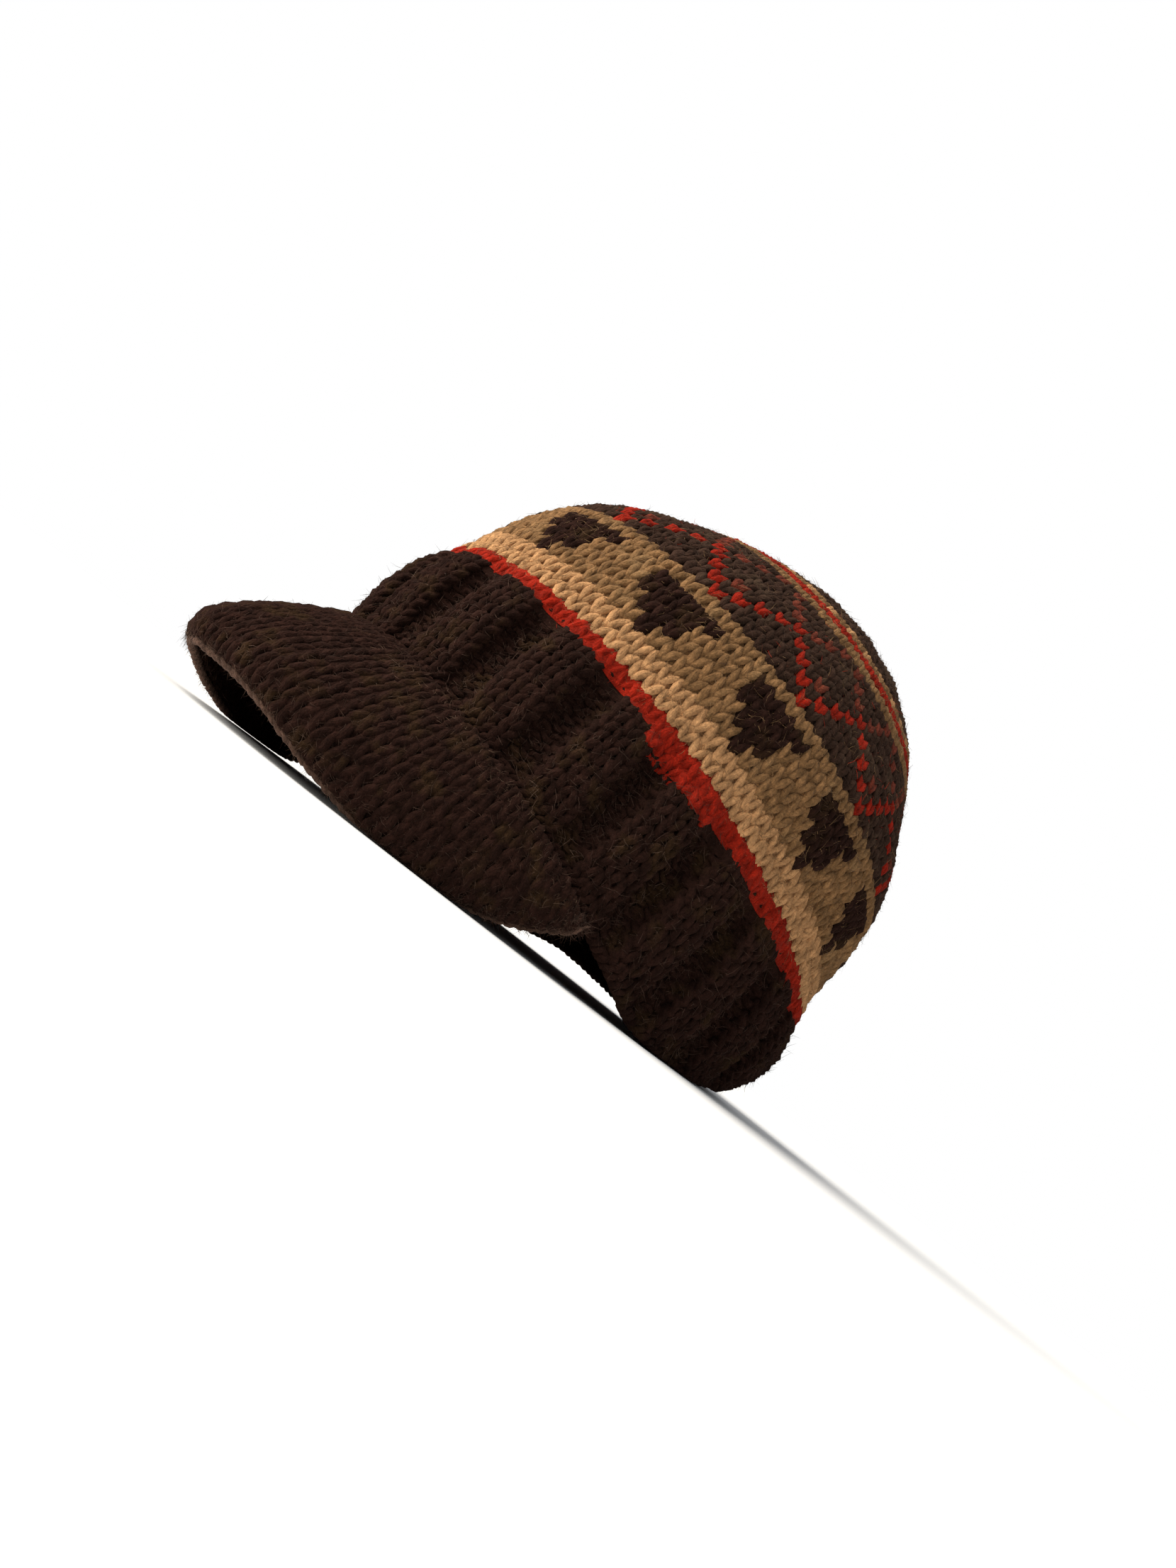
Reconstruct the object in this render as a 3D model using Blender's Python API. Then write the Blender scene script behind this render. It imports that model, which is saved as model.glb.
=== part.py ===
"""Hand-knitted baker boy cap: ribbed band, colour stripes, full crown and drooping peak.

Metres, +Z up, peak to the front at -Y. The cap stands as it does on a table: on the
drooping sides of its peak and on its band's edge behind the ears, so it leans back.
Positions along the wall are counted in rows of knitting, up from the band's lower edge.
"""

import math

import bmesh
import bpy
import numpy as np
from mathutils import Vector

# Fabric
WALL = 0.005
GAP = 0.0003
ROW_HEIGHT = 0.00505
ROUNDING = 0.0012

# Where one section of the knitting ends and the next begins, in rows
BAND_END = 10.0
RED_END = 11.0
CREAM_END = 13.0
KHAKI_END = 18.0
CROWN_END = 39.8

# Stitches and ribs round the cap
RIBS = 22
STITCHES_PER_RIB = 5
RIB_RELIEF = 0.0011
PATTERN_REPEATS = 13
COLUMNS_PER_REPEAT = 5
GATHER_START = 27.0
GATHER_DEPTH = 0.05

# The outer face. Half sizes are those of the oval at that row.
OUTLINE_COLUMNS = ("row", "height", "half_length", "half_width", "set_back", "rib")
OUTLINE = [
    (0.0, 0.0000, 0.1048, 0.0856, 0.0000, 1.00),
    (5.0, 0.0240, 0.1062, 0.0848, 0.0000, 1.00),
    (9.0, 0.0435, 0.1054, 0.0830, 0.0000, 0.80),
    (10.5, 0.0506, 0.1047, 0.0823, 0.0000, 0.30),
    (12.8, 0.0626, 0.1006, 0.0831, -0.0022, 0.00),
    (16.5, 0.0823, 0.0956, 0.0840, -0.0028, 0.00),
    (20.2, 0.1012, 0.0883, 0.0771, -0.0009, 0.00),
    (24.0, 0.1175, 0.0751, 0.0659, 0.0013, 0.00),
    (27.7, 0.1329, 0.0599, 0.0547, 0.0037, 0.00),
    (31.4, 0.1455, 0.0436, 0.0413, 0.0062, 0.00),
    (35.1, 0.1549, 0.0252, 0.0243, 0.0074, 0.00),
    (37.9, 0.1592, 0.0104, 0.0102, 0.0077, 0.00),
    (39.8, 0.1606, 0.0000, 0.0000, 0.0078, 0.00),
]

# Height of the band's lower edge, by degrees round from the front. It dips at the ears.
RIM_COLUMNS = ("turn", "height")
RIM = [
    (0.0, 0.0105),
    (30.0, 0.0095),
    (60.0, 0.0052),
    (75.0, 0.0000),
    (90.0, -0.0030),
    (105.0, 0.0010),
    (120.0, 0.0105),
    (130.0, 0.0195),
    (140.0, 0.0255),
    (155.0, 0.0275),
    (180.0, 0.0275),
]

# The peak: its root runs under the band's edge, and its free edge follows this table.
# A turn of 0 is the tip and 90 the end of the root. The table holds one half.
PEAK_THICKNESS = 0.005
PEAK_EDGE_THICKNESS = 0.0036
PEAK_ROOT_TURN = math.radians(71.5)
PEAK_ROOT_OVERHANG = 0.0018
PEAK_SHOULDER = 0.88
PEAK_FULLNESS = 0.0130
PEAK_RISE = 0.0030
PEAK_LONGEST = 0.0500
PEAK_SPANS = 28
PEAK_STEPS = 5
PEAK_COLUMNS = ("turn", "side", "forward", "height")
PEAK_EDGE = [
    (0.0, 0.0000, 0.1310, -0.0318),
    (20.0, 0.0257, 0.1223, -0.0310),
    (40.0, 0.0463, 0.0989, -0.0318),
    (60.0, 0.0636, 0.0676, -0.0275),
    (75.0, 0.0748, 0.0465, -0.0150),
    (90.0, 0.0850, 0.0350, 0.0000),
]

# How the cap stands
LEAN_BACK = math.radians(17.2)
STAND_HEIGHT = 0.0064
STAND_FORWARD = 0.0108

BROWN = (0.045, 0.029, 0.023, 1.0)
RED = (0.33, 0.022, 0.010, 1.0)
CREAM = (0.50, 0.33, 0.175, 1.0)
KHAKI = (0.23, 0.145, 0.075, 1.0)


def smooth_curve(table, at):
    """Each column of the table at this place, on a smooth curve through its rows."""
    rows = np.array(table)
    places = rows[:, 0]
    slopes = np.gradient(rows, places, axis=0)
    index = min(int(np.searchsorted(places, at, side="right")) - 1, len(places) - 2)
    span = places[index + 1] - places[index]
    t = (at - places[index]) / span
    low, high = rows[index], rows[index + 1]
    bend = t * (1 - t) * span
    eased = t * t * (3 - 2 * t)
    return low + (high - low) * eased + bend * ((1 - t) * slopes[index] - t * slopes[index + 1])


def turns_at_equal_steps(count):
    """Angles from the front that space this many columns evenly round the brow's oval."""
    fine = np.linspace(0.0, 2 * math.pi, 1441)
    _, _, half_length, half_width, _, _ = smooth_curve(OUTLINE, RED_END)
    pace = np.hypot(half_width * np.cos(fine), half_length * np.sin(fine))
    walked = np.concatenate([[0.0], np.cumsum((pace[1:] + pace[:-1]) / 2)])
    return np.interp(np.arange(count) / count, walked / walked[-1], fine)


def rib_wave(share):
    """1 on the three knit stitches of a rib and -1 on the two purl ones between ribs."""
    stitch = (share * RIBS * STITCHES_PER_RIB + 2.5) % STITCHES_PER_RIB - 2.5
    return float(np.interp(abs(stitch), [1.1, 1.9], [1.0, -1.0]))


def gather_wave(share, row):
    """The crown draws in between its decrease lines towards the top."""
    draw = min(max((row - GATHER_START) / 8.0, 0.0), 1.0) * GATHER_DEPTH
    return 1 - draw * (0.5 - 0.5 * math.cos(2 * math.pi * PATTERN_REPEATS * share))


def stand(point):
    """Leans the cap back on its peak and ears. What meets the table is flattened on it."""
    y = point.y * math.cos(LEAN_BACK) + point.z * math.sin(LEAN_BACK)
    z = point.z * math.cos(LEAN_BACK) - point.y * math.sin(LEAN_BACK)
    return Vector((point.x, y + STAND_FORWARD, max(z + STAND_HEIGHT, 0.0)))


def rim_height(turn):
    """Height of the band's lower edge at this angle from the front."""
    around = abs((math.degrees(turn) + 180.0) % 360.0 - 180.0)
    return float(smooth_curve(RIM, around)[1])


def wall_point(turn, share, row, depth):
    """A point of the round wall, this far in from its outer face."""
    _, height, half_length, half_width, set_back, rib = smooth_curve(OUTLINE, row)
    if row >= CROWN_END:
        return Vector((0.0, set_back, height - depth))
    above = smooth_curve(OUTLINE, min(row + 0.5, CROWN_END))
    below = smooth_curve(OUTLINE, max(row - 0.5, 0.0))
    outward = Vector((half_length * math.sin(turn), -half_width * math.cos(turn), 0.0))
    outward.normalize()
    closing = (below[2] - above[2]) * math.cos(turn) ** 2
    closing += (below[3] - above[3]) * math.sin(turn) ** 2
    rise = closing / max(above[1] - below[1], 1e-6) * min(row / BAND_END, 1.0)
    inward = -Vector((outward.x, outward.y, rise)).normalized()
    swell = gather_wave(share, row)
    point = Vector((half_width * swell * math.sin(turn), -half_length * swell * math.cos(turn), height))
    point += outward * RIB_RELIEF * rib * rib_wave(share)
    point += inward * depth
    point.y += set_back
    point.z += rim_height(turn) * max(1 - row / 10.5, 0.0)
    return point


def loft(name, sections, ring, colour):
    """One closed solid through closed sections. A ring's last section meets its first."""
    mesh = bpy.data.meshes.new(name)
    build = bmesh.new()
    loops = [[build.verts.new(stand(point)) for point in section] for section in sections]
    pairs = list(zip(loops, loops[1:]))
    if ring:
        pairs.append((loops[-1], loops[0]))
    else:
        build.faces.new(loops[0])
        build.faces.new(list(reversed(loops[-1])))
    for near, far in pairs:
        for corner in range(len(near)):
            nxt = (corner + 1) % len(near)
            build.faces.new((near[corner], far[corner], far[nxt], near[nxt]))
    bmesh.ops.remove_doubles(build, verts=build.verts, dist=1e-5)
    bmesh.ops.recalc_face_normals(build, faces=build.faces)
    build.to_mesh(mesh)
    build.free()
    mesh.shade_smooth()
    mesh.set_sharp_from_angle(angle=math.radians(50))
    part = bpy.data.objects.new(name, mesh)
    cap.objects.link(part)
    part.data.materials.append(wool(name + "_wool", colour))
    return part


def wool(name, colour):
    material = bpy.data.materials.new(name)
    material.use_nodes = True
    shader = material.node_tree.nodes["Principled BSDF"]
    shader.inputs["Base Color"].default_value = colour
    shader.inputs["Roughness"].default_value = 0.95
    shader.inputs["Metallic"].default_value = 0.0
    return material


def wall_section(turn, share, rows, rounded):
    """Up the outer face and down the inner one. A rounded section starts at a soft rim."""
    outer = [wall_point(turn, share, row, 0.0) for row in rows]
    inner = [wall_point(turn, share, row, WALL) for row in rows]
    if not rounded:
        return outer + inner[::-1]
    corner = ROUNDING / ROW_HEIGHT
    outer[0] = wall_point(turn, share, corner, 0.0)
    inner[0] = wall_point(turn, share, corner, WALL)
    rim = [wall_point(turn, share, 0.0, WALL - ROUNDING), wall_point(turn, share, 0.0, ROUNDING)]
    return outer + inner[::-1] + rim


def round_wall(name, rows, columns, colour, rounded=False):
    """A ring of knitting from its first row to its last, a half gap clear of its neighbours."""
    trim = GAP / 2 / ROW_HEIGHT
    low = rows[0] if rounded else rows[0] + trim
    high = rows[-1] if rows[-1] == CROWN_END else rows[-1] - trim
    rows = [low] + list(rows[1:-1]) + [high]
    turns = turns_at_equal_steps(columns)
    sections = []
    for column, turn in enumerate(turns):
        sections.append(wall_section(turn, column / columns, rows, rounded))
    return loft(name, sections, True, colour)


def peak_middle(turn_share):
    """The middle line of the peak's fabric, from under the band's inside face to its edge."""
    turn = abs(turn_share) * PEAK_ROOT_TURN
    share = 0.0
    inside = wall_point(turn, share, 0.0, WALL)
    outside = wall_point(turn, share, 0.0, -PEAK_ROOT_OVERHANG)
    drop = GAP + PEAK_THICKNESS / 2
    for point in (inside, outside):
        point.z = rim_height(turn) - drop
    _, side, forward, height = smooth_curve(PEAK_EDGE, abs(turn_share) * 90.0)
    edge = Vector((side, -forward, height))
    outward = (outside - inside).normalized()
    size = min((edge - outside).length / PEAK_LONGEST, 1.0)
    knee = outside.lerp(edge, PEAK_SHOULDER) + outward * PEAK_FULLNESS * size
    knee.z += PEAK_RISE * size
    line = [inside, outside]
    for step in range(1, PEAK_STEPS + 1):
        t = step / PEAK_STEPS
        line.append(outside.lerp(knee, t).lerp(knee.lerp(edge, t), t))
    if turn_share < 0:
        line = [Vector((-point.x, point.y, point.z)) for point in line]
    return line


def peak_section(turn_share):
    """The fabric round its middle line, thinner and rounded at the free edge."""
    line = peak_middle(turn_share)
    before = peak_middle(turn_share - 0.01 if turn_share > 0 else turn_share + 0.01)
    flip = 1.0 if turn_share > 0 else -1.0
    top = []
    under = []
    for step, point in enumerate(line):
        if step == 0:
            along = line[1] - line[0]
        else:
            along = line[min(step + 1, len(line) - 1)] - line[step - 1]
        across = (point - before[step]) * flip
        up = along.cross(across).normalized()
        if step <= 1:
            up = Vector((0.0, 0.0, 1.0))
        share = step / (len(line) - 1)
        half = (PEAK_THICKNESS + (PEAK_EDGE_THICKNESS - PEAK_THICKNESS) * share) / 2
        top.append(point + up * half)
        under.append(point - up * half)
    outward = (line[-1] - line[-2]).normalized()
    nose = line[-1] + outward * PEAK_EDGE_THICKNESS * 0.35
    return top + [nose] + under[::-1]


for leftover in list(bpy.data.objects):
    bpy.data.objects.remove(leftover)

cap = bpy.data.collections.new("baker_boy_cap")
bpy.context.scene.collection.children.link(cap)

rib_columns = RIBS * STITCHES_PER_RIB
plain_columns = PATTERN_REPEATS * COLUMNS_PER_REPEAT

round_wall("rib_band", [0.0, 2.5, 5.0, 7.5, BAND_END], rib_columns, BROWN, rounded=True)
round_wall("red_stripe", [BAND_END, 10.5, RED_END], plain_columns, RED)
round_wall("cream_stripe", [RED_END, 12.0, CREAM_END], plain_columns, CREAM)
round_wall("khaki_band", [CREAM_END, 15.5, KHAKI_END], plain_columns, KHAKI)
crown_rows = [KHAKI_END, 20, 22, 24, 26, 28, 30, 32, 34, 36, 37.5, 38.8, CROWN_END]
round_wall("crown", [float(row) for row in crown_rows], plain_columns, BROWN)

peak_sections = [peak_section(2 * span / PEAK_SPANS - 1) for span in range(PEAK_SPANS + 1)]
loft("peak", peak_sections, False, BROWN)
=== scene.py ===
"""Hand-knitted baker boy cap in bulky wool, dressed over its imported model.

The stitches are real loops of yarn. They are laid on the wall's surface row by row, as the
cap is knitted: ribbed band, stripes, patterned crown, plain top, and last the peak.
"""

import math

import bpy
import numpy as np
from mathutils import Matrix, Vector


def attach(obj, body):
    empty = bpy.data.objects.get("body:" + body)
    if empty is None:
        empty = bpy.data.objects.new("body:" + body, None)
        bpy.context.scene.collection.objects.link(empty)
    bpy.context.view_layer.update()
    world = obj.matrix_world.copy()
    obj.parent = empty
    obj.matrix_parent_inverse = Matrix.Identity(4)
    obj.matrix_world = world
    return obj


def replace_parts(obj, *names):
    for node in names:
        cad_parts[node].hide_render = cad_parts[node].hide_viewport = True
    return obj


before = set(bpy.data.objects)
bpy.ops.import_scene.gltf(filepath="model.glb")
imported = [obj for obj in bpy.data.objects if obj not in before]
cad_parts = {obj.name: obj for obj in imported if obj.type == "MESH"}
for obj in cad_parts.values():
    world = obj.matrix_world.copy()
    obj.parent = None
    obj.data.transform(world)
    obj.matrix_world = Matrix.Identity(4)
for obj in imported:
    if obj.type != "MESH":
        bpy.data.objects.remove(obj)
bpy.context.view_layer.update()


# RIBBED BAND
# Dark brown wool, cast on at the lower edge and knitted round in ribs of three knit and two
# purl stitches. The edge is higher over the brow and at the nape than at the ears.

fabric_thickness = 0.0050
row_height = 0.00505
top_row = 39.8

# row, height, half length, half width, set back, rib relief
wall_outline = [
    (0.0, 0.0000, 0.1048, 0.0856, 0.0000, 0.30),
    (5.0, 0.0240, 0.1062, 0.0848, 0.0000, 1.00),
    (9.0, 0.0435, 0.1054, 0.0830, 0.0000, 0.80),
    (10.5, 0.0506, 0.1047, 0.0823, 0.0000, 0.30),
    (12.8, 0.0626, 0.1006, 0.0831, -0.0022, 0.00),
    (16.5, 0.0823, 0.0956, 0.0840, -0.0028, 0.00),
    (20.2, 0.1012, 0.0883, 0.0771, -0.0009, 0.00),
    (24.0, 0.1175, 0.0751, 0.0659, 0.0013, 0.00),
    (27.7, 0.1329, 0.0599, 0.0547, 0.0037, 0.00),
    (31.4, 0.1455, 0.0436, 0.0413, 0.0062, 0.00),
    (35.1, 0.1549, 0.0252, 0.0243, 0.0074, 0.00),
    (37.9, 0.1592, 0.0104, 0.0102, 0.0077, 0.00),
    (39.8, 0.1606, 0.0000, 0.0000, 0.0078, 0.00),
]

# degrees round from the front, height of the band's lower edge
lower_edge = [
    (0.0, 0.0105),
    (30.0, 0.0095),
    (60.0, 0.0052),
    (75.0, 0.0000),
    (90.0, -0.0030),
    (105.0, 0.0010),
    (120.0, 0.0105),
    (130.0, 0.0195),
    (140.0, 0.0255),
    (155.0, 0.0275),
    (180.0, 0.0275),
]

band_rows = 10
band_stitches = 110
rib_stitches = 5
rib_relief = 0.0031
pattern_repeats = 13
crown_stitches = 104

# rows are level from the first of these up, and stitches are even round the second
level_row = 10.5
even_row = 11.0

# where the crown starts to draw in between its decreases, over how many rows, and how far
gather_start = 27.0
gather_rows = 8.0
gather_depth = 0.05

# how the cap stands, and how its wool gives where it meets the table
lean_back = math.radians(17.2)
stand_forward = 0.0108
stand_height = 0.0064
press_start = 0.0014
press_give = 0.0012
press_end = 0.0002

# the yarn: its radius, its sides, its points in a stitch and in a turn of a twisted edge,
# the height of a loop in rows and the part of a stitch in which it changes face
yarn_radius = 0.00134
yarn_sides = 6
points_a_stitch = 12
points_a_turn = 8
loop_height = 1.62
loop_change = 0.16


def read_curve(table, at):
    """Each column of a table at these places, on a smooth curve through its rows."""
    rows = np.array(table)
    places = rows[:, 0]
    slopes = np.gradient(rows, places, axis=0)
    at = np.clip(np.asarray(at, float), places[0], places[-1])
    index = np.clip(np.searchsorted(places, at, side="right") - 1, 0, len(places) - 2)
    span = (places[index + 1] - places[index])[..., None]
    t = (at - places[index])[..., None] / span
    low, high = rows[index], rows[index + 1]
    eased = t * t * (3 - 2 * t)
    bend = t * (1 - t) * span
    curve = low + (high - low) * eased
    return curve + bend * ((1 - t) * slopes[index] - t * slopes[index + 1])


def unit(vectors):
    return vectors / np.maximum(np.linalg.norm(vectors, axis=-1, keepdims=True), 1e-12)


def turn_at(share):
    """Angle from the front at this share of the way round, towards the wearer's left."""
    fine = np.linspace(0.0, 2 * math.pi, 1441)
    half_length, half_width = read_curve(wall_outline, np.array(even_row))[2:4]
    pace = np.hypot(half_width * np.cos(fine), half_length * np.sin(fine))
    walked = np.concatenate([[0.0], np.cumsum((pace[1:] + pace[:-1]) / 2)])
    return np.interp(share % 1.0, walked / walked[-1], fine)


def stand(points):
    """Leans the cap back as it stands, and flattens the wool that meets the table."""
    y = points[..., 1] * math.cos(lean_back) + points[..., 2] * math.sin(lean_back) + stand_forward
    z = points[..., 2] * math.cos(lean_back) - points[..., 1] * math.sin(lean_back) + stand_height
    pressed = press_end + press_give * np.exp(np.minimum(z - press_start, 0.0) / press_give)
    return np.stack([points[..., 0], y, np.where(z < press_start, pressed, z)], axis=-1)


def on_the_wall(share, row, raised):
    """A point of the round wall, this far above the middle of its thickness."""
    share, row, raised = np.broadcast_arrays(share, row, raised)
    turn = turn_at(share)
    row = np.clip(row, 0.0, top_row)
    columns = np.moveaxis(read_curve(wall_outline, row), -1, 0)
    _, height, half_length, half_width, set_back, rib = columns
    above = read_curve(wall_outline, np.minimum(row + 0.5, top_row))
    below = read_curve(wall_outline, np.maximum(row - 0.5, 0.0))
    sine, cosine = np.sin(turn), np.cos(turn)
    flat = np.zeros_like(turn)
    outward = unit(np.stack([half_length * sine, -half_width * cosine, flat], -1) + 1e-9)
    closing = (below[..., 2] - above[..., 2]) * cosine**2
    closing = closing + (below[..., 3] - above[..., 3]) * sine**2
    rise = closing / np.maximum(above[..., 1] - below[..., 1], 1e-6) * np.minimum(row / band_rows, 1.0)
    facing = unit(np.stack([outward[..., 0], outward[..., 1], rise], -1))
    draw = np.clip((row - gather_start) / gather_rows, 0.0, 1.0) * gather_depth
    swell = 1 - draw * (0.5 - 0.5 * np.cos(2 * math.pi * pattern_repeats * share))
    half_rib = rib_stitches / 2
    stitch = (share * band_stitches + half_rib) % rib_stitches - half_rib
    ribs = np.interp(np.abs(stitch), [1.1, 1.9], [1.0, -1.0])
    around = np.abs((np.degrees(turn) + 180.0) % 360.0 - 180.0)
    lift = read_curve(lower_edge, around)[..., 1] * np.maximum(1 - row / level_row, 0.0)
    x = half_width * swell * sine
    y = -half_length * swell * cosine + set_back
    points = np.stack([x, y, height + lift], -1)
    points += outward * (rib_relief * rib * ribs)[..., None]
    return points + facing * (raised - fabric_thickness / 2)[..., None]


def steady_noise(count, period, seed):
    """Even random values along a row, smooth over this many stitches, joined at the ends."""
    knots = max(int(count / period), 3)
    values = np.random.default_rng(seed).normal(0.0, 1.0, knots)
    place = np.arange(count * 2) / (count * 2) * knots
    low = place.astype(int)
    t = place - low
    t = t * t * (3 - 2 * t)
    return values[low % knots] * (1 - t) + values[(low + 1) % knots] * t


def loop_path(count, seed, purl=None, lean=0.27, deep=0.00112):
    """One row of stitches as yarn: how far along in stitches, how high in rows, how raised."""
    walk = np.arange(count * points_a_stitch) / points_a_stitch
    stitch = walk.astype(int)
    t = walk - stitch
    noise = np.random.default_rng(seed)
    slack = noise.normal(0.0, 0.045, count)
    tilt = noise.normal(0.0, 0.03, count)
    along = walk + lean * np.sin(4 * math.pi * t)
    along = along + tilt[stitch] * np.sin(math.pi * t) ** 2
    up = -(loop_height / 2) * np.cos(2 * math.pi * t)
    up = up + slack[stitch] * np.sin(math.pi * t) ** 2
    face = np.ones(count) if purl is None else np.where(purl, -1.0, 1.0)
    before, after = np.roll(face, 1)[stitch], np.roll(face, -1)[stitch]
    here = face[stitch]
    start = np.clip(1 - t / loop_change, 0, 1) * 0.5
    end = np.clip(1 - (1 - t) / loop_change, 0, 1) * 0.5
    side = here * (1 - start - end) + before * start + after * end
    raised = -deep * side * np.cos(4 * math.pi * t)
    return along, up, raised, stitch


def grid_faces(rows, columns, rows_join, columns_join):
    """Each face's row and column in a grid of corners, and its four corners."""
    last_row = rows if rows_join else rows - 1
    last_column = columns if columns_join else columns - 1
    i, j = np.meshgrid(np.arange(last_row), np.arange(last_column), indexing="ij")
    nxt, far = (i + 1) % rows, (j + 1) % columns
    corners = [i * columns + j, i * columns + far, nxt * columns + far, nxt * columns + j]
    return i, j, np.stack(corners, -1).reshape(-1, 4)


def yarn_mesh(centres, facing, radius, ring, seed):
    """Corners, faces and lie of a soft, uneven yarn of this radius along a path of points."""
    if ring:
        tangent = np.roll(centres, -1, 0) - np.roll(centres, 1, 0)
    else:
        tangent = np.gradient(centres, axis=0)
    tangent = unit(tangent)
    side = unit(np.cross(tangent, facing))
    up = np.cross(side, tangent)
    angle = (np.arange(yarn_sides) + 0.5) / yarn_sides * 2 * math.pi
    reach = np.broadcast_to(np.asarray(radius, float), (len(centres),))[:, None, None]
    fan = side[:, None] * np.cos(angle)[None, :, None] + up[:, None] * np.sin(angle)[None, :, None]
    count = len(centres)
    uneven = 1 + np.random.default_rng(seed).normal(0.0, 0.10, (count, yarn_sides, 1))
    corners = centres[:, None] + fan * reach * uneven
    i, j, faces = grid_faces(count, yarn_sides, ring, True)
    step = np.linalg.norm(np.diff(np.concatenate([centres, centres[:1]]), axis=0), axis=1)
    walked = np.concatenate([[0.0], np.cumsum(step)]) * 100 + seed * 17.3
    lie_u = np.stack([walked[i], walked[i], walked[i + 1], walked[i + 1]], -1)
    lie_v = np.stack([j, j + 1, j + 1, j], -1) / yarn_sides
    return corners.reshape(-1, 3), faces, np.stack([lie_u, lie_v], -1).reshape(-1, 4, 2)


class Knitting:
    """Gathers the yarn of one piece and makes it one mesh."""

    def __init__(self):
        self.corners, self.faces, self.lies, self.colours, self.count = [], [], [], [], 0

    def add(self, corners, faces, lies, colours):
        self.corners.append(stand(corners))
        self.faces.append(faces + self.count)
        self.lies.append(lies)
        self.colours.append(np.broadcast_to(np.asarray(colours), (len(faces),)))
        self.count += len(corners)

    def make(self, name, wools):
        corners = np.concatenate(self.corners)
        faces = np.concatenate(self.faces)
        mesh = bpy.data.meshes.new(name)
        mesh.from_pydata(corners.tolist(), [], faces.tolist())
        lies = mesh.uv_layers.new(name="along_yarn")
        lies.data.foreach_set("uv", np.concatenate(self.lies).astype(np.float32).ravel())
        for wool in wools:
            mesh.materials.append(wool)
        mesh.polygons.foreach_set("material_index", np.concatenate(self.colours).astype(np.int32))
        mesh.shade_smooth()
        mesh.update()
        piece = bpy.data.objects.new(name, mesh)
        bpy.context.scene.collection.objects.link(piece)
        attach(piece, "root")
        return piece


def noise_over(material, vector, scale, detail):
    """A noise of this scale, read at this vector."""
    noise = material.node_tree.nodes.new("ShaderNodeTexNoise")
    noise.inputs["Scale"].default_value = scale
    noise.inputs["Detail"].default_value = detail
    material.node_tree.links.new(vector, noise.inputs["Vector"])
    return noise.outputs["Fac"]


def spread(material, value, low, high, to_low, to_high):
    """The middle part of a noise, widened to this range."""
    part = material.node_tree.nodes.new("ShaderNodeMapRange")
    for socket, number in zip(part.inputs[1:5], (low, high, to_low, to_high)):
        socket.default_value = number
    material.node_tree.links.new(value, part.inputs["Value"])
    return part.outputs["Result"]


def mixed(material, kind, share, first, second):
    """Two colours mixed by this share. Each is a socket or a plain colour."""
    mix = material.node_tree.nodes.new("ShaderNodeMix")
    mix.data_type = "RGBA"
    mix.blend_type = kind
    for name, value in (("Factor", share), ("A", first), ("B", second)):
        socket = [put for put in mix.inputs if put.name == name and put.enabled][0]
        if isinstance(value, bpy.types.NodeSocket):
            material.node_tree.links.new(value, socket)
        else:
            socket.default_value = value
    return [out for out in mix.outputs if out.enabled][0]


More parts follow.
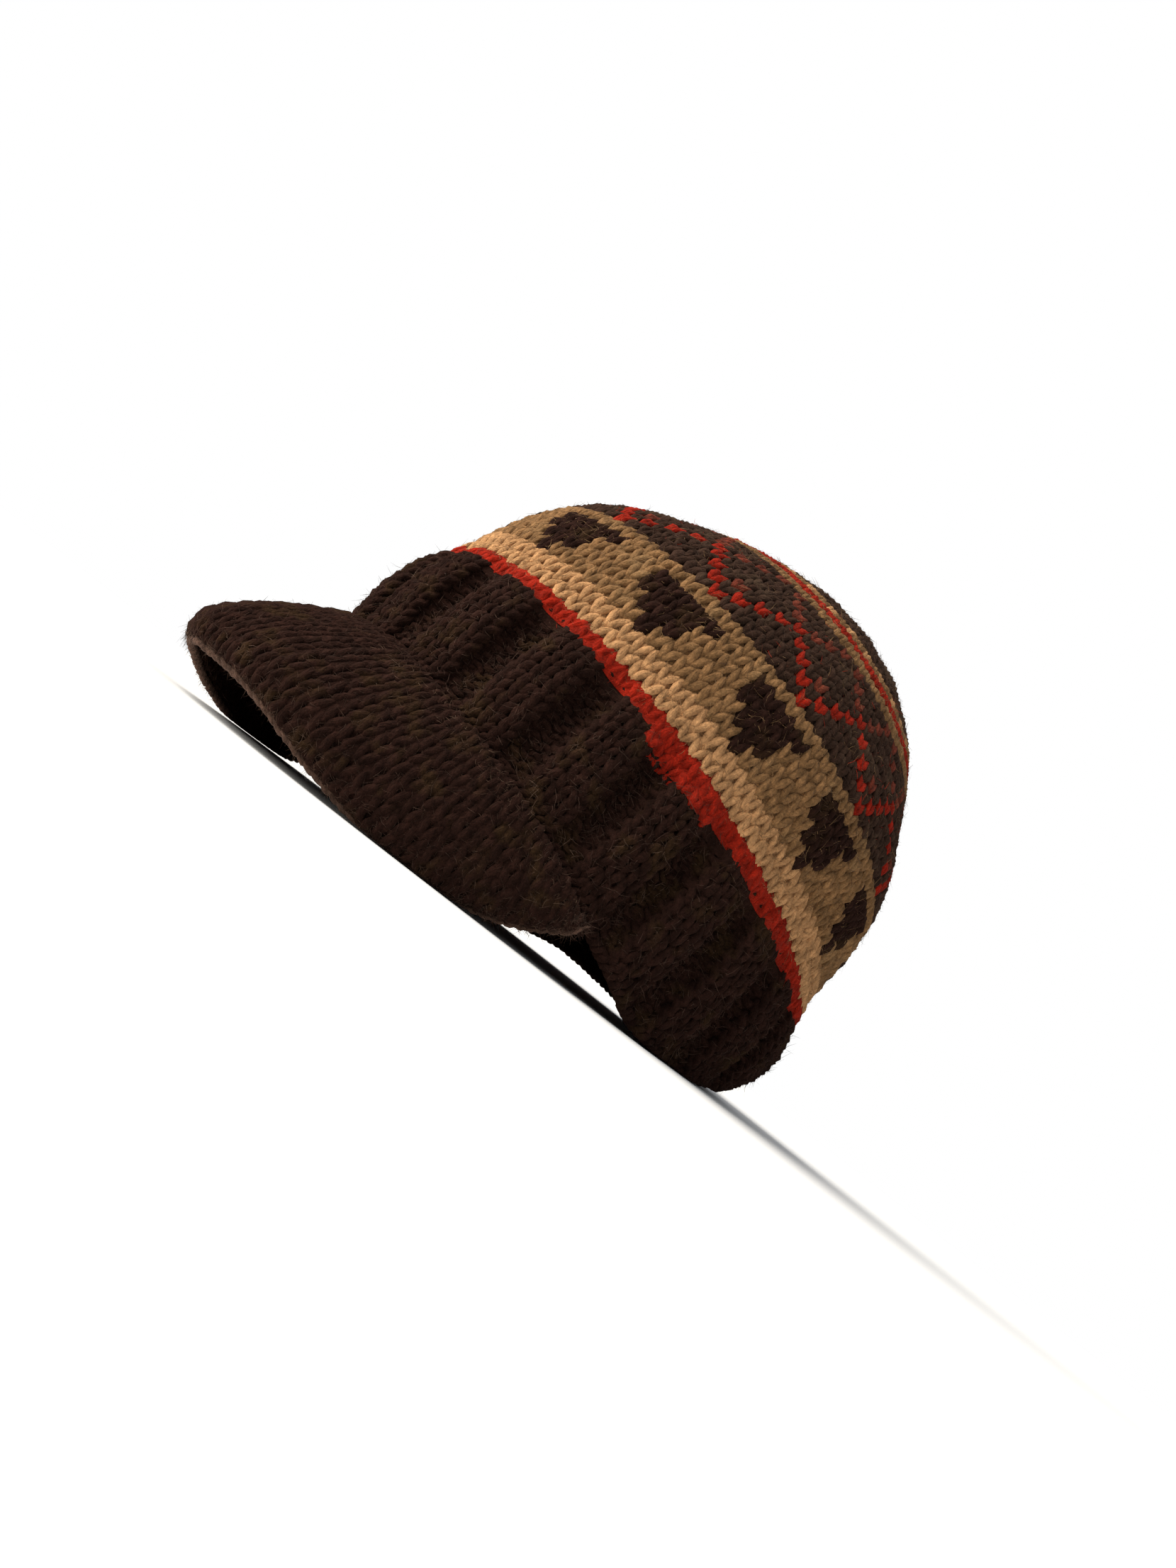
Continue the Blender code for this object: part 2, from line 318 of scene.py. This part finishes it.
def wool(name, colour, heather, fibre_tint, downy=0.10, contrast=1.0):
    """Soft spun wool: mottled dye, fibres lying along the yarn, matted ones across it."""
    material = bpy.data.materials.new(name)
    material.use_nodes = True
    nodes, links = material.node_tree.nodes, material.node_tree.links
    shader = nodes["Principled BSDF"]
    shader.inputs["Roughness"].default_value = 1.0
    shader.inputs["Specular IOR Level"].default_value = 0.05
    shader.inputs["Sheen Weight"].default_value = downy
    shader.inputs["Sheen Roughness"].default_value = 0.6
    shader.inputs["Sheen Tint"].default_value = (*fibre_tint, 1.0)
    place = nodes.new("ShaderNodeTexCoord").outputs["Object"]
    lie = nodes.new("ShaderNodeUVMap")
    lie.uv_map = "along_yarn"
    stretch = nodes.new("ShaderNodeMapping")
    stretch.inputs["Scale"].default_value = (5.0, 9.0, 1.0)
    stretch.inputs["Rotation"].default_value = (0.0, 0.0, 0.5)
    links.new(lie.outputs["UV"], stretch.inputs["Vector"])
    length = nodes.new("ShaderNodeMapping")
    length.inputs["Scale"].default_value = (0.9, 0.0, 0.0)
    links.new(lie.outputs["UV"], length.inputs["Vector"])
    fibres = noise_over(material, stretch.outputs["Vector"], 1.6, 3.0)
    felt = noise_over(material, place, 1500.0, 3.0)
    mottle = noise_over(material, place, 300.0, 4.0)
    drift = noise_over(material, place, 105.0, 3.0)
    batch = noise_over(material, length.outputs["Vector"], 1.0, 1.0)
    full = (*colour, 1.0)
    dark = (*[c * (1 - 0.5 * contrast) for c in colour], 1.0)
    light = (*[c * (1 + 0.6 * contrast) for c in colour], 1.0)
    dye = mixed(material, "MIX", spread(material, mottle, 0.30, 0.52, 0.0, 1.0), dark, full)
    dye = mixed(material, "MIX", spread(material, mottle, 0.52, 0.75, 0.0, 1.0), dye, light)
    dye = mixed(material, "MIX", spread(material, drift, 0.54, 0.68, 0.0, 0.75), dye, (*heather, 1.0))
    shades = [
        (fibres, 1 - 0.22 * contrast, 1 + 0.18 * contrast),
        (felt, 1 - 0.28 * contrast, 1 + 0.26 * contrast),
        (batch, 0.84, 1.14),
    ]
    for noise, darkest, lightest in shades:
        shade = spread(material, noise, 0.3, 0.7, darkest, lightest)
        dye = mixed(material, "MULTIPLY", 1.0, dye, shade)
    links.new(dye, shader.inputs["Base Color"])
    relief = nodes.new("ShaderNodeMath")
    relief.operation = "ADD"
    links.new(fibres, relief.inputs[0])
    links.new(felt, relief.inputs[1])
    bump = nodes.new("ShaderNodeBump")
    bump.inputs["Strength"].default_value = 1.0
    bump.inputs["Distance"].default_value = 0.0005
    links.new(relief.outputs["Value"], bump.inputs["Height"])
    links.new(bump.outputs["Normal"], shader.inputs["Normal"])
    return material


def knit_round(piece, row, first_share, wools, seed, purl=None, squash=0.0, thick=yarn_radius, lean=0.27):
    """Knits one round of stitches, one for each wool in this list."""
    count = len(wools)
    along, up, raised, stitch = loop_path(count, seed, purl, lean)
    wander = steady_noise(count, 5.0, seed + 500)
    step = np.arange(len(along)) * len(wander) // len(along)
    place = row + 0.70 + 0.06 * wander[step]
    low = np.where(up < 0, up * (1 - squash), up)
    share = first_share + (along - 0.5) / count
    centres = on_the_wall(share, place + low, raised)
    facing = unit(on_the_wall(share, place + low, raised + 0.001) - centres)
    swell = 1 + 0.08 * steady_noise(count, 2.5, seed + 900)[step]
    if purl is not None:
        swell = swell * np.where(purl[stitch], 0.66, 1.04)
    corners, faces, lies = yarn_mesh(centres, facing, thick * swell, True, seed)
    piece.add(corners, faces, lies, np.repeat(wools[stitch], yarn_sides))


def felted_ground(piece, rows, columns, raised, wool_at=None, ridge=0.0):
    """The matted fibres between the stitches, which close the fabric to light."""
    share = np.arange(columns) / columns
    raised = raised + ridge * (1 - np.arange(columns) % 2)
    grid = on_the_wall(share[None, :], np.asarray(rows)[:, None], raised[None, :])
    i, j, faces = grid_faces(len(rows), columns, False, True)
    lie_u, lie_v = np.stack([j, j + 1, j + 1, j], -1), np.stack([i, i, i + 1, i + 1], -1)
    lies = np.stack([lie_u, lie_v], -1).reshape(-1, 4, 2) * 0.5
    wools = 0
    if wool_at is not None:
        wools = wool_at[i.ravel() // 2, (j.ravel() + 1) // 2 % wool_at.shape[1]]
    piece.add(grid.reshape(-1, 3), faces, lies, wools)


brown_wool = wool("brown_wool", (0.0168, 0.0070, 0.0049), (0.0280, 0.0150, 0.0062), (0.36, 0.17, 0.11), 0.07)
red_wool = wool("red_wool", (0.25, 0.0115, 0.0042), (0.32, 0.018, 0.008), (0.9, 0.35, 0.25), 0.06, 0.8)

rib_band = Knitting()
wale = np.arange(band_stitches)
purl_wales = np.abs((wale + 2) % rib_stitches - 2) == 2
second_red_wales = (wale > 15) & (wale < 22)
squashed_rows = {0: 0.62, band_rows - 1: 0.25}
for row in range(band_rows):
    second_red = second_red_wales & (row == band_rows - 1)
    purl = purl_wales & ~second_red
    squash = squashed_rows.get(row, 0.0)
    knit_round(rib_band, row, 0.0, second_red * 1, 11 + row, purl, squash, lean=0.235)
felted_ground(rib_band, np.linspace(0.0, 10.2, 14), 2 * band_stitches, -0.0002, None, 0.0009)
felted_ground(rib_band, [9.3, 9.6, 10.0], 2 * band_stitches, 0.0014, second_red_wales[None, :] * 1)


def cast_on_edge(piece, row, turns, thick, reach, seed):
    """Two strands of the cast-on, twisted round each other along the lower edge."""
    count = turns * points_a_turn
    share = np.arange(count) / count
    for strand in range(2):
        phase = 2 * math.pi * (share * turns + strand / 2)
        raised = reach * np.cos(phase)
        centres = on_the_wall(share, row + reach * np.sin(phase) / row_height, raised)
        facing = unit(on_the_wall(share, row, raised + 0.001) - centres)
        corners, faces, lies = yarn_mesh(centres, facing, thick, True, seed + strand)
        piece.add(corners, faces, lies, 0)


cast_on_edge(rib_band, 0.24, band_stitches, 0.00115, 0.0011, 3)
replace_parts(rib_band.make("ribbed_band", [brown_wool, red_wool]), "rib_band")


# RED AND CREAM STRIPES
# One round of brick red and two of cream, knitted straight on from the ribs. The cream
# stitches stand up in clear points where they meet the red.

cream_wool = wool("cream_wool", (0.43, 0.228, 0.100), (0.34, 0.178, 0.078), (0.8, 0.6, 0.4), 0.06, 0.7)
one_wool = np.zeros(crown_stitches, int)
ground_columns = 2 * crown_stitches

red_stripe = Knitting()
knit_round(red_stripe, 10, 0.0, one_wool, 31, thick=0.00142)
felted_ground(red_stripe, [10.0, 10.25, 10.7, 11.2], ground_columns, 0.0016)
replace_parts(red_stripe.make("red_round", [red_wool]), "red_stripe")

cream_stripe = Knitting()
for row in (11, 12):
    knit_round(cream_stripe, row, 0.0, one_wool, 31 + row)
felted_ground(cream_stripe, [11.1, 11.6, 12.1, 12.6, 13.1], ground_columns, 0.0004, None, 0.0006)
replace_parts(cream_stripe.make("cream_rounds", [cream_wool]), "cream_stripe")


# KHAKI ROUNDS
# Khaki with dark brown triangles, one to a repeat of eight stitches. Each stands on its
# point and widens upwards, and the last round above them is plain.

khaki_wool = wool("khaki_wool", (0.198, 0.104, 0.043), (0.250, 0.142, 0.062), (0.75, 0.55, 0.36), 0.07, 0.9)

# how many stitches each stitch lies to the left of the middle of its triangle
repeat_stitches = crown_stitches // pattern_repeats
half_repeat = repeat_stitches // 2
from_the_point = (np.arange(crown_stitches) - 2 + half_repeat) % repeat_stitches - half_repeat

# the first and last stitch of each triangle, round by round, counted from its middle
triangle_reach = {13: (0, 0), 14: (-1, 1), 15: (-2, 1), 16: (-2, 2)}
khaki_chart = np.zeros((5, crown_stitches), int)
for row, (first, last) in triangle_reach.items():
    khaki_chart[row - 13] = (from_the_point >= first) & (from_the_point <= last)

khaki_band = Knitting()
for row in range(13, 18):
    knit_round(khaki_band, row, 0.0, khaki_chart[row - 13], 31 + row)
felted_ground(khaki_band, np.linspace(13.1, 18.1, 11), ground_columns, 0.0006, khaki_chart, 0.0006)
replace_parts(khaki_band.make("khaki_rounds", [khaki_wool, brown_wool]), "khaki_band")


# CROWN
# Dark brown with a red zigzag and a fainter rust one, closed by thin khaki and red rounds.
# Above them it is plain, and each repeat is decreased until the last stitches are drawn up.

rust_wool = wool("rust_wool", (0.115, 0.022, 0.012), (0.15, 0.035, 0.018), (0.7, 0.4, 0.3), 0.08)
crown_brown = wool("crown_brown", (0.0290, 0.0145, 0.0096), (0.056, 0.034, 0.021), (0.45, 0.27, 0.18), 0.1)
dark, red, rust, khaki, cream = 0, 1, 2, 3, 4
pattern_rows = range(18, 29)
closing_stitch = 0.0050


def crown_chart(row):
    """The wool of each stitch in this row of the crown's pattern."""
    away = np.abs(from_the_point)
    wools = np.full(crown_stitches, dark)
    if row <= 22:
        wools[away == row - 18] = red
    if row == 20:
        wools[away == 0] = rust
    if 23 <= row <= 25:
        wools[away == 26 - row] = rust
    if row in (26, 28):
        wools[:] = khaki
    if row == 27:
        wools[:] = red
    if row == 28:
        wools[::3] = cream
    return wools


def stitches_in_a_repeat(row):
    """Above its pattern the crown decreases, and keeps its stitches about as wide."""
    half_length, half_width = read_curve(wall_outline, np.array(row + 0.5))[2:4]
    round_length = 2 * math.pi * math.sqrt((half_length**2 + half_width**2) / 2)
    fitting = round(round_length / pattern_repeats / closing_stitch)
    return min(max(fitting, 1), repeat_stitches)


crown_wools = [crown_brown, red_wool, rust_wool, khaki_wool, cream_wool]
crown_sides = Knitting()
chart = np.array([crown_chart(row) for row in pattern_rows])
for row, wools in zip(pattern_rows, chart):
    knit_round(crown_sides, row, 0.0, wools, 31 + row)
felted_ground(crown_sides, np.linspace(18.1, 29.1, 23), ground_columns, 0.0006, chart, 0.0006)
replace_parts(crown_sides.make("crown_pattern", crown_wools), "crown")

crown_top = Knitting()
for row in range(29, 40):
    count = stitches_in_a_repeat(row) * pattern_repeats
    offset = 0.5 / count - 0.5 / crown_stitches
    narrow = 1.0 if count > pattern_repeats else 0.85
    knit_round(crown_top, row, offset, np.zeros(count, int), 31 + row, thick=yarn_radius * narrow)
felted_ground(crown_top, np.linspace(29.1, 39.7, 20), 130, 0.0006)
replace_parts(crown_top.make("crown_top", [crown_brown]), "crown")


# PEAK
# Two layers of dark brown knitting over a stiff core, curved round the brow and drooping at
# the sides. Its wales run out from the band to a rolled edge, whose wool is painted a lighter
# brown as a highlight where the edge catches the light.

peak_wales = 46
peak_row = 0.00495
peak_offset = 0.0011
peak_yarn = 0.00138
root_turn = math.radians(71.5)

# how far the root stands out from the band's edge and below it, and how far the rows and
# the core's cover run on under the band
root_clear = 0.0029
rows_tuck = 0.0045
core_tuck = 0.0068
core_lift = 0.0018

# the bend of a peak that is this deep: how far out it lies, how much fuller and how much
# higher than a straight line from root to edge
peak_depth = 0.05
bend_place = 0.88
bend_out = 0.013
bend_up = 0.003

# degrees of the peak's half, side, forward, height of its free edge
peak_edge = [
    (0.0, 0.0000, 0.1310, -0.0318),
    (20.0, 0.0257, 0.1223, -0.0310),
    (40.0, 0.0463, 0.0989, -0.0318),
    (60.0, 0.0636, 0.0676, -0.0275),
    (75.0, 0.0748, 0.0465, -0.0150),
    (90.0, 0.0850, 0.0350, 0.0000),
]


def peak_middles(across, steps):
    """Middle lines of the peak from the band to its edge, at these places across it."""
    half = np.abs(across)
    turn = half * root_turn
    side, forward = np.sin(turn), np.cos(turn)
    half_length, half_width = wall_outline[0][2:4]
    outward = unit(np.stack([half_length * side, -half_width * forward, 0 * turn], -1))
    root = np.stack([half_width * side, -half_length * forward, 0 * turn], -1)
    root = root + outward * root_clear
    root[:, 2] = read_curve(lower_edge, np.degrees(turn))[:, 1] - root_clear
    edge = read_curve(peak_edge, half * 90.0)[:, 1:] * np.array([1.0, -1.0, 1.0])
    size = np.minimum(np.linalg.norm(edge - root, axis=1) / peak_depth, 1.0)[:, None]
    bend = root + (edge - root) * bend_place + outward * bend_out * size
    bend[:, 2] += bend_up * size[:, 0]
    t = np.linspace(0.0, 1.0, steps)[None, :, None]
    lines = root[:, None] * (1 - t) ** 2 + bend[:, None] * 2 * t * (1 - t) + edge[:, None] * t**2
    tuck = root[:, None] - outward[:, None] * np.linspace(0.007, 0.001, 4)[None, :, None]
    lines = np.concatenate([tuck, lines], axis=1)
    lines[across < 0, :, 0] *= -1
    return lines


# The peak's surface on an even grid: places across it, and steps back from its edge
peak_columns = 161
peak_step = 0.0005
peak_lines = peak_middles(np.linspace(-1.0, 1.0, peak_columns), 60)
peak_lengths = np.linalg.norm(np.diff(peak_lines, axis=1), axis=2)
peak_back = peak_lengths[:, ::-1].cumsum(axis=1)[:, ::-1]
peak_back = np.concatenate([peak_back, np.zeros((peak_columns, 1))], axis=1)
peak_reach = peak_back[:, 4]
peak_places = np.arange(0.0, 0.066, peak_step)
peak_grid = np.empty((peak_columns, len(peak_places), 3))
for column in range(peak_columns):
    for axis in range(3):
        ends = peak_back[column][::-1], peak_lines[column][::-1, axis]
        peak_grid[column, :, axis] = np.interp(peak_places, *ends)
outward_run = -np.gradient(peak_grid, axis=1)
across_run = np.gradient(peak_grid, axis=0)
peak_facing = np.cross(outward_run, across_run)
held_flat = np.linalg.norm(outward_run, axis=2) < 1e-7
peak_facing[held_flat] = (0.0, 0.0, 1.0)
peak_facing = unit(peak_facing)

wale_pace = np.linalg.norm(np.diff(peak_grid[:, [0, 40]], axis=0), axis=2).mean(axis=1)
wale_walk = np.concatenate([[0.0], np.cumsum(wale_pace)])
wale_walk = wale_walk / wale_walk[-1] * peak_wales


def on_the_peak(wale, back, raised):
    """A point of the peak at this wale, this far back from its edge and above its middle."""
    wale, back, raised = np.broadcast_arrays(wale, back, raised)
    column = np.interp(wale, wale_walk, np.arange(peak_columns))
    line = np.clip(back / peak_step, 0.0, len(peak_places) - 1.001)
    a, b = np.minimum(column.astype(int), peak_columns - 2), line.astype(int)
    s, t = (column - a)[..., None], (line - b)[..., None]

    def between(grid):
        near = grid[a, b] * (1 - t) + grid[a, b + 1] * t
        far = grid[a + 1, b] * (1 - t) + grid[a + 1, b + 1] * t
        return near * (1 - s) + far * s

    return between(peak_grid) + unit(between(peak_facing)) * raised[..., None]


def knit_peak_row(piece, number, side, seed):
    """One row of the top (side 1) or under layer (-1), its ends tucked under the band."""
    middle = (number + 0.5) * peak_row
    reach = np.interp(np.arange(peak_wales) + 0.5, wale_walk, peak_reach) + rows_tuck
    wales = np.flatnonzero(reach > middle)
    if len(wales) < 3:
        return
    along, up, raised, _ = loop_path(len(wales), seed, lean=0.22, deep=0.00060)
    wander = steady_noise(len(wales), 4.0, seed + 500)
    step = np.arange(len(along)) * len(wander) // len(along)
    wale = np.clip(wales[0] + along, 0.02, peak_wales - 0.02)
    back = middle - up * peak_row + 0.05 * peak_row * wander[step]
    back = np.maximum(back, 0.0008)
    lift = (raised + peak_offset) * np.clip(0.72 + back / 0.03, 0.0, 1.0) * side
    centres = on_the_peak(wale, back, lift)
    facing = unit(on_the_peak(wale, back, lift + 0.001 * side) - centres)
    point = np.arange(len(along))
    taper = np.clip(np.minimum(point, point[::-1]) / 3.0, 0.02, 1.0)
    swell = 1 + 0.07 * steady_noise(len(wales), 2.5, seed + 900)[step]
    corners, faces, lies = yarn_mesh(centres, facing, peak_yarn * taper * swell, False, seed)
    piece.add(corners, faces, lies, 0)


peak_rows = int((peak_reach.max() + rows_tuck) / peak_row + 0.5)
peak_top, peak_under = Knitting(), Knitting()
for number in range(peak_rows):
    knit_peak_row(peak_top, number, 1.0, 201 + number)
    knit_peak_row(peak_under, number, -1.0, 231 + number)


def peak_core(piece, side):
    """The stiff core's cover, seen between the stitches. It closes the seam to the band."""
    wale = np.linspace(0.0, peak_wales, 2 * peak_wales + 1)[:, None]
    raised = side * (0.0013 + 0.0010 * np.sin(math.pi * wale) ** 2)
    root = np.interp(wale, wale_walk, peak_reach)
    back = 0.001 + (root + core_tuck - 0.001) * np.linspace(0.0, 1.0, 13)[None, :]
    tucked = core_lift * np.clip((back - root) / core_tuck, 0.0, 1.0)
    grid = on_the_peak(wale, back, raised * np.clip(0.6 + back / 0.02, 0.0, 1.0) + tucked)
    i, j, faces = grid_faces(*back.shape, False, False)
    lie_u, lie_v = np.stack([i, i, i + 1, i + 1], -1), np.stack([j, j + 1, j + 1, j], -1)
    lies = np.stack([lie_u, lie_v], -1).reshape(-1, 4, 2) * 0.5
    piece.add(grid.reshape(-1, 3), faces, lies, 0)


peak_core(peak_top, 1.0)
peak_core(peak_under, -1.0)


def rolled_edge(piece, turns, thick, reach):
    """The last round of both layers, drawn together into a cord just ahead of the free edge."""
    count = turns * points_a_turn
    place = np.arange(count) / (count - 1)
    taper = np.clip(np.minimum(place, 1 - place) * 60, 0.02, 1.0)
    wale = 0.02 + place * (peak_wales - 0.04)
    edge = on_the_peak(wale, 0.0, 0.0)
    ahead = unit(edge - on_the_peak(wale, 0.002, 0.0))
    facing = unit(on_the_peak(wale, 0.0, 0.001) - edge)
    for strand in range(2):
        phase = 2 * math.pi * (place * turns + strand / 2)
        out = 0.0009 + reach * np.sin(phase)
        lift = 0.0004 + reach * np.cos(phase)
        centres = edge + ahead * out[:, None] + facing * lift[:, None]
        corners, faces, lies = yarn_mesh(centres, facing, thick * taper, False, 291 + strand)
        # the cord takes the lighter wool, a painted highlight on the peak's edge
        piece.add(corners, faces, lies, 1)


# a lighter brown than the peak's own wool: a painted highlight on the rolled edge
edge_highlight_wool = wool("edge_highlight_wool", (0.085, 0.046, 0.032), (0.11, 0.064, 0.042), (0.6, 0.42, 0.34), 0.2)
rolled_edge(peak_top, 44, 0.00105, 0.00045)
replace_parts(peak_top.make("peak_top", [brown_wool, edge_highlight_wool]), "peak")
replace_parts(peak_under.make("peak_underside", [brown_wool]), "peak")


# LOOSE FIBRES
# The down of the wool: short hairs that stand out from the yarn all over, and soften its
# outline against the light.

brown_down = wool("brown_down", (0.050, 0.029, 0.021), (0.105, 0.066, 0.045), (0.6, 0.45, 0.36))
khaki_down = wool("khaki_down", (0.17, 0.10, 0.048), (0.25, 0.15, 0.075), (0.8, 0.6, 0.4))
red_down = wool("red_down", (0.32, 0.022, 0.010), (0.36, 0.04, 0.018), (0.9, 0.4, 0.3))
seam_down = wool("seam_down", (0.072, 0.043, 0.029), (0.12, 0.075, 0.05), (0.6, 0.4, 0.3), 0.1)
all_down = [brown_down, red_down, khaki_down, seam_down]
brown, rosy, fair, seam = 0, 1, 2, 3
fibre_width = 0.000055


def scatter_down(name, count, place_of, seed, longest=0.0050):
    """Fibres lying over the knitting, each bent once and lifted at its tip."""
    noise = np.random.default_rng(seed)
    base, facing, aside, ahead, dye = place_of(noise, count)
    angle = noise.uniform(0, 2 * math.pi, count)
    run = aside * np.cos(angle)[:, None] + ahead * np.sin(angle)[:, None]
    lift = noise.uniform(0.0, 0.5, count)[:, None]
    bend = noise.normal(0.0, 0.5, count)[:, None]
    length = (noise.uniform(0.25, 1.0, count) ** 1.6 * longest)[:, None]
    cross = np.cross(facing, run)
    points = []
    for share in (0.0, 0.5, 1.0):
        reach = run * share + cross * bend * share**2 + facing * lift * share**1.5
        points.append(base + reach * length)
    points = np.stack(points, 1)
    width = fibre_width * noise.uniform(0.6, 1.4, count)[:, None, None]
    thin = np.array([0.8, 1.0, 0.2])[None, :, None]
    side = unit(cross + facing * noise.normal(0, 0.8, count)[:, None])[:, None] * width * thin
    corners = np.stack([points - side, points + side], 2).reshape(-1, 3)
    first = np.arange(count)[:, None] * 6 + np.arange(2)[None, :] * 2
    faces = np.stack([first, first + 1, first + 3, first + 2], -1).reshape(-1, 4)
    lies = np.zeros((len(faces), 4, 2)) + noise.uniform(0, 40, (len(faces), 1, 2))
    piece = Knitting()
    piece.add(corners, faces, lies, np.repeat(dye, 2))
    piece.make(name, all_down)


def fibre_roots(surface, along, across, raised, out, step):
    """Where fibres leave a surface, the way it faces there and two ways to run over it."""
    base = surface(along, across, raised)
    facing = unit(surface(along, across, raised + out) - base)
    aside = unit(surface(along + step, across, raised) - base)
    return base, facing, aside, np.cross(facing, aside)


def over_the_wall(rows, dye_of):
    """Places for fibres on the outside of the round wall, between these rows."""

    def place(noise, count):
        share = noise.uniform(0, 1, count)
        row = noise.uniform(*rows, count)
        height = noise.uniform(0.0006, 0.0021, count)
        return *fibre_roots(on_the_wall, share, row, height, 0.001, 0.002), dye_of(noise, row)

    return place


def over_the_peak(noise, count):
    """Places for fibres on both layers of the peak, most of them on top."""
    wale = noise.uniform(0.1, peak_wales - 0.1, count)
    reach = np.interp(wale, wale_walk, peak_reach)
    back = noise.uniform(0, 1, count) ** 1.3 * reach
    side = np.where(noise.uniform(0, 1, count) < 0.7, 1.0, -1.0)
    raised = side * noise.uniform(0.0010, 0.0022, count)
    return *fibre_roots(on_the_peak, wale, back, raised, 0.001 * side, 0.1), np.full(count, brown)


def over_the_seam(noise, count):
    """Where the peak is sewn to the band, and along its free edge, more fibres stand out."""
    wale = noise.uniform(1.0, peak_wales - 1.0, count)
    reach = np.interp(wale, wale_walk, peak_reach)
    sewn = noise.uniform(0, 1, count) < 0.55
    by_the_band = reach - np.abs(noise.normal(0, 0.0045, count))
    by_the_edge = noise.uniform(-0.0002, 0.0012, count)
    back = np.maximum(np.where(sewn, by_the_band, by_the_edge), 0)
    raised = noise.uniform(0.0012, 0.0026, count)
    return *fibre_roots(on_the_peak, wale, back, raised, 0.001, 0.1), np.full(count, seam)


def brown_only(noise, row):
    return np.full(len(row), brown)


def stripe_dye(noise, row):
    return np.where(row < 11, rosy, fair)


def crown_dye(noise, row):
    """Mostly fair fibres on the khaki rows and brown on the dark ones, with a few red ones."""
    chance = noise.uniform(0, 1, len(row))
    light = (row < 18) | ((row > 26) & (row < 29))
    mixed_in = (row > 18) & (row < 29) & (chance > 0.9)
    darker = np.where(mixed_in, rosy, brown)
    return np.where(chance < np.where(light, 0.75, 0.22), fair, darker)


scatter_down("band_down", 14000, over_the_wall((0.3, 10.0), brown_only), 71)
scatter_down("stripe_down", 7000, over_the_wall((10.1, 13.0), stripe_dye), 72, 0.004)
scatter_down("crown_down", 27000, over_the_wall((13.0, 39.0), crown_dye), 73)
scatter_down("peak_down", 13000, over_the_peak, 74)
scatter_down("seam_down", 3000, over_the_seam, 75, 0.0035)


# FLOOR, LIGHT AND CAMERA
# A wide pale floor in a pale room, a broad soft light above and in front of the cap, and
# the photograph's turned view of it, kept just above the floor.

floor_mesh = bpy.data.meshes.new("pale_floor")
floor_mesh.from_pydata([(-6, -6, 0), (6, -6, 0), (6, 6, 0), (-6, 6, 0)], [], [(0, 1, 2, 3)])
pale_floor = bpy.data.objects.new("pale_floor", floor_mesh)
bpy.context.scene.collection.objects.link(pale_floor)
floor_paint = bpy.data.materials.new("pale_floor")
floor_paint.use_nodes = True
floor_shader = floor_paint.node_tree.nodes["Principled BSDF"]
floor_shader.inputs["Base Color"].default_value = (0.93, 0.93, 0.92, 1)
floor_shader.inputs["Roughness"].default_value = 0.8
floor_mesh.materials.append(floor_paint)

studio = bpy.data.worlds.new("pale_studio")
bpy.context.scene.world = studio
studio.use_nodes = True
sky = studio.node_tree
seen = sky.nodes.new("ShaderNodeLightPath")
backdrop = sky.nodes.new("ShaderNodeBackground")
backdrop.inputs["Color"].default_value = (1, 1, 1, 1)
backdrop.inputs["Strength"].default_value = 1.0
room = sky.nodes["Background"]
room.inputs["Color"].default_value = (0.93, 0.96, 1.0, 1)
room.inputs["Strength"].default_value = 0.40
choose = sky.nodes.new("ShaderNodeMixShader")
sky.links.new(seen.outputs["Is Camera Ray"], choose.inputs["Fac"])
sky.links.new(room.outputs["Background"], choose.inputs[1])
sky.links.new(backdrop.outputs["Background"], choose.inputs[2])
sky.links.new(choose.outputs["Shader"], sky.nodes["World Output"].inputs["Surface"])

soft_light = bpy.data.lights.new("soft_light", "SUN")
soft_light.energy = 5.2
soft_light.angle = math.radians(64)
soft_light.color = (1.0, 0.95, 0.88)
lamp = bpy.data.objects.new("soft_light", soft_light)
bpy.context.scene.collection.objects.link(lamp)
lamp.rotation_euler = Vector((-0.29, -0.75, 0.60)).to_track_quat("Z", "Y").to_euler()

# the width and the focal length of the photograph, both in its pixels
photo_width = 1659
focal_length = 2000
azimuth, elevation, roll = math.radians(36.49), math.radians(-5.64), math.radians(37.9)
back = Vector((math.cos(azimuth), -math.sin(azimuth), 0)) * math.cos(elevation)
back.z = math.sin(elevation)
level = Vector((0, 0, 1)).cross(back).normalized()
upright = back.cross(level)
right = level * math.cos(roll) + upright * math.sin(roll)
up = back.cross(right)
view = bpy.data.cameras.new("photo_view")
view.sensor_fit = "HORIZONTAL"
view.sensor_width = 36.0
view.lens = view.sensor_width * focal_length / photo_width
view.clip_start = 0.01
camera = bpy.data.objects.new("photo_view", view)
bpy.context.scene.collection.objects.link(camera)
camera.matrix_world = Matrix((right, up, back)).transposed().to_4x4()
camera.location = (0.3766, -0.2683, 0.0097)
bpy.context.scene.camera = camera
bpy.context.scene.view_settings.view_transform = "Standard"
